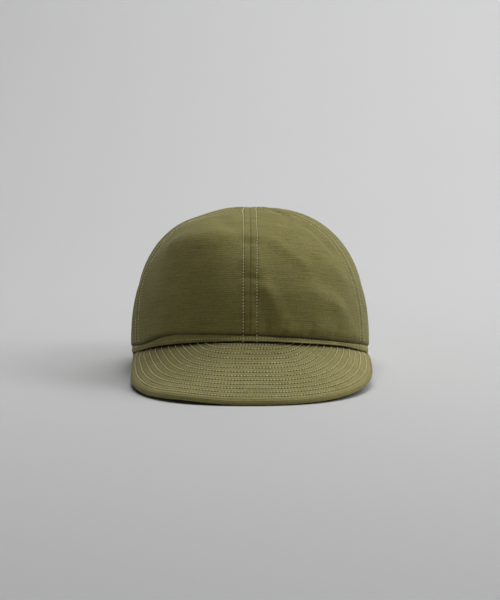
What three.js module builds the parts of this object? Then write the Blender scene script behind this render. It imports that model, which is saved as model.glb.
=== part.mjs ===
// A mechanic's cap of light olive ripstop cotton: a soft crown of six panels on a narrow turned hem, and a
// short visor made of two cloths sewn together. It lies on a flat surface as it would by itself: the visor's
// front rim and the back of the hem touch the surface, and the visor props up the front of the crown.
// Millimetres, +Z up. The visor points along -Y, and +X is the wearer's left.
import * as THREE from "three";

// The hem, seen from above
const CROWN_HALF_WIDTH = 83.4;
const CROWN_FRONT = 96;
const CROWN_BACK = 98;
const PLAN_POWER = 2.08;

// The hem, seen from the side: lifted at the front by the visor, and flat on the surface at the back
const FRONT_LIFT = 32.3;
const LIFT_POWER = 1.63;
const FLAT_BEHIND = 82;

// The crown above the hem: the peak is where the six panels meet
const PEAK_HEIGHT = 111.6;
const PEAK_BEHIND_MIDDLE = 6;
const FRONT_POWER = 2.8;
const SIDE_POWER = 2.62;
const BACK_POWER = 2.2;
const PEAK_HOLE_RADIUS = 0.8;

// The wearer's right front panel has a squarer shoulder than the left one
const SHOULDER_DEG = -28;
const SHOULDER_HALF_WIDTH_DEG = 22;
const SHOULDER_POWER = 1;

// Cloth
const PANEL_CLOTH = 1.4;
const HEM_CLOTH = 2.4;
const HEM_HEIGHT = 5.6;
const GAP = 0.3;
const PANEL_OVERHANG = 0.7;
const PANEL_FULLNESS = 0.8;
const SEAM_RIDGE_HALF_WIDTH = 5.4;
const SEAM_RIDGE_HEIGHT = 0.45;

// The visor, seen from above: a superellipse that starts and ends at the crown's sides
const RIM_HALF_WIDTH = 82.5;
const RIM_MIDDLE_Y = -61.8;
const RIM_REACH = 90.7;
const RIM_POWER_WEARERS_LEFT = 2.36;
const RIM_POWER_WEARERS_RIGHT = 2.51;
const RIM_TAIL_POWER = 20;
const RIM_END_DEG = 112;
const ROOT_END_DEG = 78;
const RIM_SHIFT_X = 1.1;

// The visor's heights: its rim lies on the surface at the front and rises at the sides. On the wearer's right it
// clears the surface in a low wave, which ends at a share of the way round to the side.
const VISOR_TOP_CLOTH = 1.4;
const VISOR_UNDER_CLOTH = 1.8;
const VISOR_THICKNESS = VISOR_TOP_CLOTH + GAP + VISOR_UNDER_CLOTH;
const VISOR_UNDER_HEM = 0.4;
const RIM_LIFT_WEARERS_LEFT = 8.3;
const RIM_LIFT_WEARERS_RIGHT = 3.4;
const RIM_LIFT_POWER = 2.5;
const RIM_WAVE_WEARERS_RIGHT = 0.9;
const RIM_WAVE_END = 0.62;
const VISOR_DISH = 0.8;
const TOP_CLOTH_INSET = 0.7;

// The seams between the panels, by their place round the crown. drift bends a seam sideways half-way up.
const SEAMS = {
  front: { deg: 0, drift: 0 },
  sideLeft: { deg: 66.5, drift: -1 },
  rearLeft: { deg: 123, drift: 0 },
  back: { deg: 180, drift: 0 },
  backAgain: { deg: -180, drift: 0 },
  rearRight: { deg: -123, drift: -3 },
  sideRight: { deg: -67.5, drift: -8 },
};
const PANELS = [
  { name: "crown_panel_front_left", from: "front", to: "sideLeft" },
  { name: "crown_panel_side_left", from: "sideLeft", to: "rearLeft" },
  { name: "crown_panel_back_left", from: "rearLeft", to: "back" },
  { name: "crown_panel_back_right", from: "backAgain", to: "rearRight" },
  { name: "crown_panel_side_right", from: "rearRight", to: "sideRight" },
  { name: "crown_panel_front_right", from: "sideRight", to: "front" },
];

// Folds of the crown's cloth. Each runs from one place to another: deg is the angle round the crown from the
// front, and rise is the share of the way from hem to peak. A negative depth is a ridge.
const FOLDS = [
  { deg: 60, rise: 0.9, toDeg: 30, toRise: 0.7, halfWidth: 4.5, depth: 1.4 },
  { deg: 50, rise: 0.7, toDeg: 55, toRise: 0.47, halfWidth: 5, depth: 1.5 },
  { deg: 15, rise: 0.51, toDeg: 28, toRise: 0.36, halfWidth: 5, depth: -1.2 },
  { deg: 2.5, rise: 0.53, toDeg: 6.5, toRise: 0.2, halfWidth: 5, depth: -0.9 },
  { deg: 6.5, rise: 0.2, toDeg: 15.5, toRise: 0.03, halfWidth: 5.5, depth: -1.6 },
  { deg: 40, rise: 0.41, toDeg: 54, toRise: 0.28, halfWidth: 6, depth: -0.9 },
  { deg: 35, rise: 0.26, toDeg: 49, toRise: 0.18, halfWidth: 6, depth: 0.6 },
  { deg: 32, rise: 0.2, toDeg: 44, toRise: 0.13, halfWidth: 6, depth: -0.8 },
  { deg: 44, rise: 0.13, toDeg: 56, toRise: 0.04, halfWidth: 6, depth: -0.9 },
  { deg: 12, rise: 0.16, toDeg: 46, toRise: 0.15, halfWidth: 12, depth: -1.2 },
  { deg: 0.5, rise: 0.36, toDeg: 0.5, toRise: 0.05, halfWidth: 6, depth: -1.1 },
  { deg: 3, rise: 0.6, toDeg: -48, toRise: 0.48, halfWidth: 9, depth: -2 },
  { deg: -5, rise: 0.24, toDeg: -52, toRise: 0.24, halfWidth: 18, depth: 1.9 },
  { deg: -24, rise: 0.8, toDeg: -9, toRise: 0.62, halfWidth: 7, depth: 1.2 },
  { deg: -50, rise: 0.87, toDeg: -105, toRise: 0.78, halfWidth: 15, depth: 1.8 },
  { deg: -62, rise: 0.3, toDeg: -84, toRise: 0.62, halfWidth: 8, depth: 0.9 },
  { deg: 80, rise: 0.12, toDeg: 96, toRise: 0.4, halfWidth: 9, depth: 1.2 },
  { deg: 104, rise: 0.5, toDeg: 132, toRise: 0.2, halfWidth: 12, depth: 1.5 },
  { deg: -96, rise: 0.1, toDeg: -82, toRise: 0.36, halfWidth: 9, depth: 1.0 },
  { deg: -112, rise: 0.55, toDeg: -136, toRise: 0.22, halfWidth: 12, depth: 1.4 },
  { deg: 150, rise: 0.3, toDeg: 176, toRise: 0.1, halfWidth: 11, depth: 1.5 },
  { deg: -146, rise: 0.12, toDeg: -170, toRise: 0.34, halfWidth: 11, depth: 1.3 },
];

// How finely the solids are faceted
const PANEL_ROWS = 16;
const PANEL_INNER_COLUMNS = 9;
const HEM_STATIONS = 96;
const VISOR_COLUMNS = 46;
const VISOR_ROWS = 7;
const FOLD_STEPS = 6;

const rad = THREE.MathUtils.degToRad;
const clamp = THREE.MathUtils.clamp;
const lerp = THREE.MathUtils.lerp;

// A power that keeps the sign, for superellipses
const signedPower = (value, power) => Math.sign(value) * Math.abs(value) ** power;

// How high the hem's lower edge is lifted, by its distance behind the crown's middle
function hemLift(y) {
  const share = clamp((FLAT_BEHIND - y) / (FLAT_BEHIND + CROWN_FRONT), 0, 1);
  return FRONT_LIFT * share ** LIFT_POWER;
}

// The hem's lower edge at an angle round the crown, on the outer face of the cloth
function hemPoint(angle) {
  const power = 2 / PLAN_POWER;
  const depth = Math.cos(angle) > 0 ? CROWN_FRONT : CROWN_BACK;
  const x = CROWN_HALF_WIDTH * signedPower(Math.sin(angle), power);
  const y = -depth * signedPower(Math.cos(angle), power);
  return new THREE.Vector3(x, y, hemLift(y));
}

// The level direction that points straight out of the hem
function hemOutward(angle) {
  const step = 1e-3;
  const along = hemPoint(angle + step).sub(hemPoint(angle - step));
  return new THREE.Vector3(along.y, -along.x, 0).normalize();
}

// The superellipse power of the crown's profile, which changes from front to side to back
function profilePower(angle) {
  const front = clamp(Math.cos(angle), 0, 1) ** 2;
  const back = clamp(-Math.cos(angle), 0, 1) ** 2;
  const fromShoulder = (THREE.MathUtils.radToDeg(angle) - SHOULDER_DEG) / SHOULDER_HALF_WIDTH_DEG;
  const shoulder = SHOULDER_POWER * Math.exp(-fromShoulder * fromShoulder);
  return FRONT_POWER * front + BACK_POWER * back + SIDE_POWER * (1 - front - back) + shoulder;
}

// The crown's smooth outer form. rise goes from 0 at the hem's edge to 1 at the peak.
function crownForm(angle, rise) {
  const hem = hemPoint(angle);
  const power = 2 / profilePower(angle);
  const turn = (clamp(rise, 0, 1) * Math.PI) / 2;
  const inward = Math.cos(turn) ** power;
  const upward = Math.sin(turn) ** power;
  return new THREE.Vector3(
    hem.x * inward,
    lerp(PEAK_BEHIND_MIDDLE, hem.y, inward),
    lerp(hem.z, PEAK_HEIGHT, upward),
  );
}

function crownOutward(angle, rise) {
  const step = 1e-3;
  const low = clamp(rise, 0.002, 0.995);
  const around = crownForm(angle + step, low).sub(crownForm(angle - step, low));
  const up = crownForm(angle, low + step).sub(crownForm(angle, low - step));
  return around.cross(up).normalize();
}

// The rise at which the crown's form is a given height above the hem's edge
function riseAtHeight(angle, height) {
  const share = height / (PEAK_HEIGHT - hemPoint(angle).z);
  return (Math.asin(share ** (profilePower(angle) / 2)) * 2) / Math.PI;
}

// The rise at which the crown's form is a given distance from the peak's axis
function riseAtRadius(angle, radius) {
  const hem = hemPoint(angle);
  const reach = Math.hypot(hem.x, hem.y - PEAK_BEHIND_MIDDLE);
  return (Math.acos((radius / reach) ** (profilePower(angle) / 2)) * 2) / Math.PI;
}

const seamAngle = (seam, rise) => rad(SEAMS[seam].deg + SEAMS[seam].drift * Math.sin(Math.PI * rise));

// Each fold as a row of points on the crown's form
const FOLD_LINES = FOLDS.map((fold) =>
  Array.from({ length: FOLD_STEPS + 1 }, (_, i) => {
    const share = i / FOLD_STEPS;
    return crownForm(rad(lerp(fold.deg, fold.toDeg, share)), lerp(fold.rise, fold.toRise, share));
  }),
);

function distanceToLine(point, line) {
  const distances = line.slice(1).map((end, i) => {
    const nearest = new THREE.Line3(line[i], end).closestPointToPoint(point, true, new THREE.Vector3());
    return nearest.distanceTo(point);
  });
  return Math.min(...distances);
}

// How far the folds push the cloth out at a place on the crown's form
function foldRelief(point) {
  return FOLDS.reduce((sum, fold, i) => {
    const share = distanceToLine(point, FOLD_LINES[i]) / fold.halfWidth;
    return sum - fold.depth * Math.exp(-share * share);
  }, 0);
}

// A closed body between two grids of points, outer[row][column] and inner[row][column]. Seen from outside,
// columns run to the right and rows run up.
function bodyBetween(outer, inner) {
  const rows = outer.length;
  const columns = outer[0].length;
  const positions = [...outer.flat(), ...inner.flat()].flatMap((p) => [p.x, p.y, p.z]);
  const front = (row, column) => row * columns + column;
  const behind = (row, column) => rows * columns + front(row, column);
  const faces = [];
  const quad = (a, b, c, d) => faces.push(a, b, c, a, c, d);
  for (let row = 0; row < rows - 1; row++) {
    for (let column = 0; column < columns - 1; column++) {
      quad(front(row, column), front(row, column + 1), front(row + 1, column + 1), front(row + 1, column));
      quad(behind(row, column), behind(row + 1, column), behind(row + 1, column + 1), behind(row, column + 1));
    }
    const last = columns - 1;
    quad(front(row, 0), front(row + 1, 0), behind(row + 1, 0), behind(row, 0));
    quad(front(row + 1, last), front(row, last), behind(row, last), behind(row + 1, last));
  }
  for (let column = 0; column < columns - 1; column++) {
    const last = rows - 1;
    quad(front(0, column + 1), front(0, column), behind(0, column), behind(0, column + 1));
    quad(front(last, column), front(last, column + 1), behind(last, column + 1), behind(last, column));
  }
  return closedGeometry(positions, faces);
}

// A closed ring: stations[i] is the outline of its section at one place along it
function ringBody(stations) {
  const count = stations[0].length;
  const positions = stations.flat().flatMap((p) => [p.x, p.y, p.z]);
  const faces = [];
  stations.forEach((_, i) => {
    const here = i * count;
    const next = ((i + 1) % stations.length) * count;
    for (let k = 0; k < count; k++) {
      const after = (k + 1) % count;
      faces.push(here + k, next + k, next + after, here + k, next + after, here + after);
    }
  });
  return closedGeometry(positions, faces);
}

function closedGeometry(positions, faces) {
  const geometry = new THREE.BufferGeometry();
  geometry.setAttribute("position", new THREE.Float32BufferAttribute(positions, 3));
  geometry.setIndex(faces);
  geometry.computeVertexNormals();
  return geometry;
}

// One crown panel. Its first and last columns follow the seams, where the doubled cloth makes a low ridge.
function panelGeometry(panel) {
  const outer = [];
  const inner = [];
  for (let row = 0; row <= PANEL_ROWS; row++) {
    const outerRow = [];
    const innerRow = [];
    for (const place of panelRow(panel, row / PANEL_ROWS)) {
      const form = crownForm(place.angle, place.rise);
      const outward = crownOutward(place.angle, place.rise);
      const relief = PANEL_OVERHANG + place.relief + foldRelief(form);
      outerRow.push(form.clone().addScaledVector(outward, relief));
      innerRow.push(form.clone().addScaledVector(outward, relief - PANEL_CLOTH));
    }
    outer.push(outerRow);
    inner.push(innerRow);
  }
  return bodyBetween(outer, inner);
}

// The places of one row of a panel, share of the way from its lower edge to the peak
function panelRow(panel, share) {
  const middle = lerp(0.05, 1, share);
  const from = seamAngle(panel.from, middle);
  const to = seamAngle(panel.to, middle);
  const riseFor = (angle) => {
    const lowest = riseAtHeight(angle, HEM_HEIGHT + GAP);
    return lerp(lowest, riseAtRadius(angle, PEAK_HOLE_RADIUS), share);
  };
  const halfway = (from + to) / 2;
  const rise = riseFor(halfway);
  const width = crownForm(from, rise).distanceTo(crownForm(halfway, rise)) * 2;
  const squeeze = Math.min(1, width / (5 * SEAM_RIDGE_HALF_WIDTH));
  const edges = [GAP / 2, SEAM_RIDGE_HALF_WIDTH * 0.8 * squeeze, SEAM_RIDGE_HALF_WIDTH * 1.15 * squeeze].map(
    (distance) => Math.min(distance / width, 0.4),
  );
  const shares = [
    ...edges,
    ...Array.from({ length: PANEL_INNER_COLUMNS }, (_, i) =>
      lerp(edges[2], 1 - edges[2], (i + 1) / (PANEL_INNER_COLUMNS + 1)),
    ),
    ...edges.map((edge) => 1 - edge).reverse(),
  ];
  return shares.map((across, i) => {
    const onRidge = i < 2 || i > shares.length - 3;
    const angle = lerp(from, to, across);
    const fullness = PANEL_FULLNESS * Math.sin(Math.PI * across) * squeeze;
    return { angle, rise: riseFor(angle), relief: onRidge ? SEAM_RIDGE_HEIGHT : fullness };
  });
}

// The turned hem: a band of doubled cloth round the whole crown
function hemGeometry() {
  const corner = 0.5;
  const section = [
    { out: -corner, up: 0 },
    { out: 0, up: corner },
    { out: 0, up: HEM_HEIGHT - corner },
    { out: -corner, up: HEM_HEIGHT },
    { out: -HEM_CLOTH, up: HEM_HEIGHT },
    { out: -HEM_CLOTH, up: 0 },
  ];
  const stations = Array.from({ length: HEM_STATIONS }, (_, i) => {
    const angle = 2 * Math.PI * (i / HEM_STATIONS - 0.5);
    const outward = hemOutward(angle);
    return section.map(({ out, up }) => {
      const form = up ? crownForm(angle, riseAtHeight(angle, up)) : hemPoint(angle);
      return form.addScaledVector(outward, out);
    });
  });
  return ringBody(stations);
}

// The visor's upper face at its root, which is sewn under the hem. side goes from -1 to 1 across the visor. The
// root lies behind the hem's cloth, and comes out to the hem's outer face at its two ends.
function visorRoot(side) {
  const angle = rad(ROOT_END_DEG) * side;
  const tuck = HEM_CLOTH * (1 - side ** 8);
  const root = hemPoint(angle).addScaledVector(hemOutward(angle), -tuck);
  root.z -= VISOR_UNDER_HEM;
  return root;
}

// The visor's outer rim, at the height of its upper face. Past its widest places the rim runs straight back to the
// hem, and its two ends lie just under the hem.
function visorRim(side) {
  const angle = rad(RIM_END_DEG) * side;
  const forward = Math.cos(angle);
  const superellipse = side > 0 ? RIM_POWER_WEARERS_LEFT : RIM_POWER_WEARERS_RIGHT;
  const x = RIM_HALF_WIDTH * signedPower(Math.sin(angle), 2 / (forward > 0 ? superellipse : RIM_TAIL_POWER));
  const y = RIM_MIDDLE_Y - RIM_REACH * (forward > 0 ? forward ** (2 / superellipse) : forward);
  const quarter = Math.min(Math.abs(angle) / (Math.PI / 2), 1);
  const tail = clamp((Math.abs(side) * RIM_END_DEG - 90) / (RIM_END_DEG - 90), 0, 1);
  const lift = side > 0 ? RIM_LIFT_WEARERS_LEFT : RIM_LIFT_WEARERS_RIGHT;
  const waveHeight = side < 0 ? RIM_WAVE_WEARERS_RIGHT : 0;
  const wave = waveHeight * Math.sin(Math.PI * Math.min(quarter / RIM_WAVE_END, 1)) ** 2;
  const freeHeight = VISOR_THICKNESS + lift * quarter ** RIM_LIFT_POWER + wave;
  const z = lerp(freeHeight, hemLift(y) - VISOR_UNDER_HEM, tail ** 1.3);
  return new THREE.Vector3(x + RIM_SHIFT_X * (1 - tail ** 2), y, z);
}

// A point of the visor's upper face: out goes from 0 at the root to 1 at the rim
function visorPoint(side, out) {
  const point = visorRoot(side).lerp(visorRim(side), out);
  point.z -= VISOR_DISH * (1 - side * side) * 4 * out * (1 - out);
  return point;
}

// One of the visor's two cloths, between two depths under the upper face
function visorCloth(depthAbove, depthBelow, rimInset) {
  const above = [];
  const below = [];
  for (let row = 0; row <= VISOR_ROWS; row++) {
    const points = Array.from({ length: VISOR_COLUMNS + 1 }, (_, column) => {
      const side = lerp(-1, 1, column / VISOR_COLUMNS);
      const width = visorRoot(side).distanceTo(visorRim(side));
      return visorPoint(side, lerp(1 - rimInset / width, 0, row / VISOR_ROWS));
    });
    above.push(points.map((p) => new THREE.Vector3(p.x, p.y, p.z - depthAbove)));
    below.push(points.map((p) => new THREE.Vector3(p.x, p.y, p.z - depthBelow)));
  }
  return bodyBetween(above, below);
}

const crownCloth = new THREE.MeshStandardMaterial({ color: 0x67623b, roughness: 0.92, metalness: 0 });
const hemCloth = new THREE.MeshStandardMaterial({ color: 0x6c673f, roughness: 0.92, metalness: 0 });
const visorTopCloth = new THREE.MeshStandardMaterial({ color: 0x7a754d, roughness: 0.9, metalness: 0 });
const visorUnderCloth = new THREE.MeshStandardMaterial({ color: 0x645f3b, roughness: 0.92, metalness: 0 });

const pieces = [
  ...PANELS.map((panel) => ({ name: panel.name, geometry: panelGeometry(panel), material: crownCloth })),
  { name: "hem_band", geometry: hemGeometry(), material: hemCloth },
  { name: "visor_top", geometry: visorCloth(0, VISOR_TOP_CLOTH, TOP_CLOTH_INSET), material: visorTopCloth },
  {
    name: "visor_under",
    geometry: visorCloth(VISOR_TOP_CLOTH + GAP, VISOR_THICKNESS, 0),
    material: visorUnderCloth,
  },
];

// The cap's origin is the middle of its footprint, on the surface it lies on
const cap = new THREE.Group();
for (const piece of pieces) {
  const mesh = new THREE.Mesh(piece.geometry, piece.material);
  mesh.name = piece.name;
  cap.add(mesh);
}
const box = new THREE.Box3().setFromObject(cap);
cap.position.set(-(box.min.x + box.max.x) / 2, -(box.min.y + box.max.y) / 2, -box.min.z);

const part = new THREE.Group();
part.add(cap);

export default part;
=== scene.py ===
"""The looks of a mechanic's cap of light olive ripstop cotton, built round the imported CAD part.

The crown's six panels, the turned hem and the visor's two cloths are modelled again as fine meshes from
the same named values as the CAD part, with seam welts, folds and puckers. Stitches are meshes of their own.
Shapes are worked out in millimetres round the crown's middle, and go to the frame, in metres, as meshes.
"""

import math
from collections import namedtuple

import bpy
import numpy as np
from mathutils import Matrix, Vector, kdtree, noise


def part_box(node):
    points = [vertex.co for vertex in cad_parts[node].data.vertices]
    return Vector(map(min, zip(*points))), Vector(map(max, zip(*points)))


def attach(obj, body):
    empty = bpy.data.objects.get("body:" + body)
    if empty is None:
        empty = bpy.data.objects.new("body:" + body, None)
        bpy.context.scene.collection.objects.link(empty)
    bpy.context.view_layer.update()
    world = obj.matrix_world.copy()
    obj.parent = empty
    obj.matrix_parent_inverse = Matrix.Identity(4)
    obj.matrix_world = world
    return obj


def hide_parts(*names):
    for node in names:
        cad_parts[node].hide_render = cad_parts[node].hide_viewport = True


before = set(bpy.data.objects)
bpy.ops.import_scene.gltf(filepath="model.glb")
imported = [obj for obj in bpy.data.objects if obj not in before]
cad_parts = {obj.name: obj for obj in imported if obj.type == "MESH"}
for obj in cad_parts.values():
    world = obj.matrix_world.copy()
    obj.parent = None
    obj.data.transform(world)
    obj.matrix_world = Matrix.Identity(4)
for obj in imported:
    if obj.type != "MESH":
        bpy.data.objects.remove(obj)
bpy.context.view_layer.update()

MM = 0.001

# The hem, seen from above and from the side
CROWN_HALF_WIDTH = 83.4
CROWN_FRONT = 96
CROWN_BACK = 98
PLAN_POWER = 2.08
FRONT_LIFT = 32.3
LIFT_POWER = 1.63
FLAT_BEHIND = 82

# The crown above the hem
PEAK_HEIGHT = 111.6
PEAK_BEHIND_MIDDLE = 6
FRONT_POWER = 2.8
SIDE_POWER = 2.62
BACK_POWER = 2.2

# The wearer's right front panel has a squarer shoulder
SHOULDER_DEG = -28
SHOULDER_HALF_WIDTH_DEG = 22
SHOULDER_POWER = 1.0

# Cloth
PANEL_CLOTH = 1.2
PANEL_EDGE_CLOTH = 0.45
HEM_CLOTH = 2.4
VISOR_CLOTH = 0.6
UNDER_CLOTH = 0.45

# Each seam has a welt of doubled cloth between two rows of stitches, a groove along its middle, and dimples
# under the stitches
STITCH_OFFSET = 4.5
WELT_HEIGHT = 0.24
WELT_EDGE_WITHIN = 0.2
WELT_EDGE_BEYOND = 2.8
GROOVE_DEPTH = 0.25
GROOVE_WIDTH = 0.5
DIMPLE_DEPTH = 0.3
DIMPLE_WIDTH = 0.6

# The small puckers beside a seam: their depth, their size along and across it, and where they are deepest
MIDDLE_PUCKER = 0.36
SIDE_PUCKER = 0.28
SEAM_PUCKER_SIZE = (3.0, 14, 1)
SEAM_PUCKER_FROM_SEAM = 2.6
SEAM_PUCKER_SPREAD = 4.2

# Stitches
STITCH_PITCH = 2.1
STITCH_LENGTH = 1.5
STITCH_RADIUS = 0.31
VISOR_STITCH_RADIUS = 0.5
HEM_STITCH_HEIGHT = 3.3

# The visor
RIM_HALF_WIDTH = 82.5
RIM_MIDDLE_Y = -61.8
RIM_REACH = 90.7
RIM_POWER_WEARERS_LEFT = 2.36
RIM_POWER_WEARERS_RIGHT = 2.51
RIM_TAIL_POWER = 20
RIM_END_DEG = 112
ROOT_END_DEG = 78
RIM_SHIFT_X = 1.1
VISOR_THICKNESS = 3.5
VISOR_UNDER_HEM = 0.4
RIM_LIFT_WEARERS_LEFT = 8.3
RIM_LIFT_WEARERS_RIGHT = 3.4
RIM_LIFT_POWER = 2.5
RIM_WAVE_WEARERS_RIGHT = 1.4
RIM_WAVE_END = 0.62
TAIL_RISE_POWER = 1.3
VISOR_DISH = 0.8
ROOT_CURVE_LENGTH = 12
ROOT_RAISE = 0.8
VISOR_END_SIDE = 0.93
VISOR_END_THINNING = 0.75
FIRST_ROW_FROM_RIM = 4.9
ROW_SPACING = 4.57
VISOR_ROWS = 13

# The seams between the panels: deg round the crown from the front, and how many more half-way up. The back
# seam is here twice, once for each panel beside it.
Seam = namedtuple("Seam", "deg drift")
SEAMS = {
    "front": Seam(0, 0),
    "side_left": Seam(66.5, -1),
    "rear_left": Seam(123, 0),
    "back": Seam(180, 0),
    "back_again": Seam(-180, 0),
    "rear_right": Seam(-123, -3),
    "side_right": Seam(-67.5, -8),
}
MIDDLE_SEAMS = ("front", "back")
SIDE_SEAMS = ("side_left", "rear_left", "rear_right", "side_right")
PANELS = {
    "front_left": ("front", "side_left"),
    "side_left": ("side_left", "rear_left"),
    "back_left": ("rear_left", "back"),
    "back_right": ("back_again", "rear_right"),
    "side_right": ("rear_right", "side_right"),
    "front_right": ("side_right", "front"),
}

# A fold runs over the crown from one place, by deg and rise, to another. A ridge's depth is negative.
Fold = namedtuple("Fold", "deg rise to_deg to_rise half_width depth")
FOLDS = [
    Fold(60, 0.9, 30, 0.7, 4.5, 1.4),
    Fold(50, 0.7, 55, 0.47, 5, 1.5),
    Fold(15, 0.51, 28, 0.36, 5, -1.2),
    Fold(2.5, 0.53, 6.5, 0.2, 5, -0.9),
    Fold(6.5, 0.2, 15.5, 0.03, 5.5, -1.6),
    Fold(40, 0.41, 54, 0.28, 6, -0.9),
    Fold(35, 0.26, 49, 0.18, 6, 0.6),
    Fold(32, 0.2, 44, 0.13, 6, -0.8),
    Fold(44, 0.13, 56, 0.04, 6, -0.9),
    Fold(12, 0.16, 46, 0.15, 12, -1.2),
    Fold(0.5, 0.36, 0.5, 0.05, 6, -1.1),
    Fold(3, 0.6, -48, 0.48, 9, -2),
    Fold(-5, 0.24, -52, 0.24, 18, 1.9),
    Fold(-24, 0.8, -9, 0.62, 7, 1.2),
    Fold(-50, 0.87, -105, 0.78, 15, 1.8),
    Fold(-62, 0.3, -84, 0.62, 8, 0.9),
    Fold(80, 0.12, 96, 0.4, 9, 1.2),
    Fold(104, 0.5, 132, 0.2, 12, 1.5),
    Fold(-96, 0.1, -82, 0.36, 9, 1.0),
    Fold(-112, 0.55, -136, 0.22, 12, 1.4),
    Fold(150, 0.3, 176, 0.1, 11, 1.5),
    Fold(-146, 0.12, -170, 0.34, 11, 1.3),
]
FOLD_POINTS = 49

# Short folds across the strip between the front seam's stitches, and then over the hem
PUCKERS = [
    Fold(-5, 0.78, 5, 0.78, 2.2, 0.4),
    Fold(-3.4, 0.515, 3.4, 0.51, 2.9, 1.0),
    Fold(-2.6, 0.262, 2.6, 0.258, 2.3, 0.7),
    Fold(-2.6, 0.16, 2.6, 0.16, 1.9, 0.35),
    Fold(-2.6, 0.062, 2.6, 0.06, 2.5, 0.7),
    Fold(7, 0.05, 6, 0.0, 2.2, 0.8),
    Fold(15, 0.05, 13, 0.0, 2.4, 0.9),
    Fold(28, 0.05, 25, 0.0, 2.6, 0.9),
    Fold(43, 0.05, 39, 0.0, 2.6, 0.9),
    Fold(-30, 0.05, -34, 0.0, 2.6, 0.5),
    Fold(-50, 0.04, -46, 0.0, 2.4, 0.6),
]

# Where the crown's cloth folds over the hem: deg round the crown, height over the hem's edge, how far the
# cloth bulges over it, how high the bulge is, how far the hem's edge flares, and how high the painted shade
# over the crease reaches
Crease = namedtuple("Crease", "deg height bulge bulge_height flare hollow")
CREASE = [
    Crease(-180, 5.8, 0.7, 2.0, 0.1, 0.7),
    Crease(-120, 6.2, 0.8, 2.0, 0.1, 0.7),
    Crease(-76, 5.6, 0.7, 2.0, 0.3, 0.8),
    Crease(-62, 4.4, 1.6, 1.6, 0.7, 1.3),
    Crease(-54, 5.6, 2.6, 1.6, 0.8, 1.5),
    Crease(-50, 6.6, 3.0, 1.7, 0.8, 1.6),
    Crease(-44, 8.2, 3.2, 1.7, 0.9, 1.5),
    Crease(-37, 8.6, 3.0, 1.8, 0.5, 1.2),
    Crease(-22, 7.4, 2.2, 2.0, 1.1, 0.8),
    Crease(-7, 6.2, 1.3, 2.2, 2.1, 0.8),
    Crease(0, 5.6, 1.1, 2.2, 2.6, 1.0),
    Crease(13, 4.9, 1.6, 5.0, 4.2, 2.2),
    Crease(22, 4.7, 2.6, 7.0, 5.2, 3.0),
    Crease(36, 4.5, 3.0, 8.0, 4.2, 3.4),
    Crease(50, 4.6, 2.4, 7.5, 1.2, 3.0),
    Crease(62, 5.2, 1.4, 5.0, 0.7, 1.6),
    Crease(76, 5.6, 0.8, 3.0, 0.5, 0.9),
    Crease(120, 6.2, 0.8, 2.0, 0.1, 0.7),
    Crease(180, 5.8, 0.7, 2.0, 0.1, 0.7),
]
CREASE_ROUNDING_DEG = (-4, -2, 0, 2, 4)


def clip01(value):
    return np.clip(value, 0, 1)


def smooth(value, low, high):
    """0 below low and 1 above high, with a soft step between."""
    share = clip01((value - low) / (high - low))
    return share * share * (3 - 2 * share)


def bell(value, width):
    return np.exp(-((value / width) ** 2))


def quarter_round(share):
    """Rises from 0 to 1 as a quarter of a circle does, steep at first."""
    return np.sqrt(clip01(1 - (1 - clip01(share)) ** 2))


def signed_power(value, power):
    return np.sign(value) * np.abs(value) ** power


def mixed(low, high, share):
    return low + (high - low) * share


def points_of(x, y, z):
    return np.stack(np.broadcast_arrays(x, y, z), axis=-1).astype(float)


def unit(vectors):
    return vectors / np.linalg.norm(vectors, axis=-1, keepdims=True)


def length_along(line):
    """The distance along a line of points, from its first point to each of them."""
    steps = np.linalg.norm(np.diff(line, axis=0), axis=1)
    return np.concatenate([[0], np.cumsum(steps)])


def tree_of(points):
    """A tree that finds the nearest of some points."""
    tree = kdtree.KDTree(len(points))
    for index, place in enumerate(points.tolist()):
        tree.insert(place, index)
    tree.balance()
    return tree


def nearest_normals(points, normals):
    """A function that gives, for an array of places, the normals at the points nearest to them."""
    tree = tree_of(points)
    return lambda places: np.array([normals[tree.find(place)[1]] for place in places.tolist()])


# Unevenness of the cloth: depth in millimetres, size along three measures, and a seed of its own
Unevenness = namedtuple("Unevenness", "depth size seed")
SEED_STEP = 17.3


def noise_at(places, seed):
    """Smooth noise from about -1 to 1 at an array of places, the same on each run."""
    flat = places.reshape(-1, 3) + seed * SEED_STEP
    values = [noise.noise(place) for place in flat.tolist()]
    return np.array(values).reshape(places.shape[:-1])


def uneven(places, layer):
    return layer.depth * noise_at(places / np.array(layer.size), layer.seed)


# The crown's form, the same as the CAD part's

ANGLE_STEP = 1e-3
OUTWARD_RISES = (0.002, 0.995)


def hem_lift(y):
    return FRONT_LIFT * clip01((FLAT_BEHIND - y) / (FLAT_BEHIND + CROWN_FRONT)) ** LIFT_POWER


def hem_edge(angle):
    power = 2 / PLAN_POWER
    depth = np.where(np.cos(angle) > 0, CROWN_FRONT, CROWN_BACK)
    x = CROWN_HALF_WIDTH * signed_power(np.sin(angle), power)
    y = -depth * signed_power(np.cos(angle), power)
    return points_of(x, y, hem_lift(y))


def hem_outward(angle):
    along = hem_edge(angle + ANGLE_STEP) - hem_edge(angle - ANGLE_STEP)
    return unit(points_of(along[..., 1], -along[..., 0], 0))


def profile_power(angle):
    front = clip01(np.cos(angle)) ** 2
    back = clip01(-np.cos(angle)) ** 2
    shoulder = SHOULDER_POWER * bell(np.degrees(angle) - SHOULDER_DEG, SHOULDER_HALF_WIDTH_DEG)
    return FRONT_POWER * front + BACK_POWER * back + SIDE_POWER * (1 - front - back) + shoulder


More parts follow.
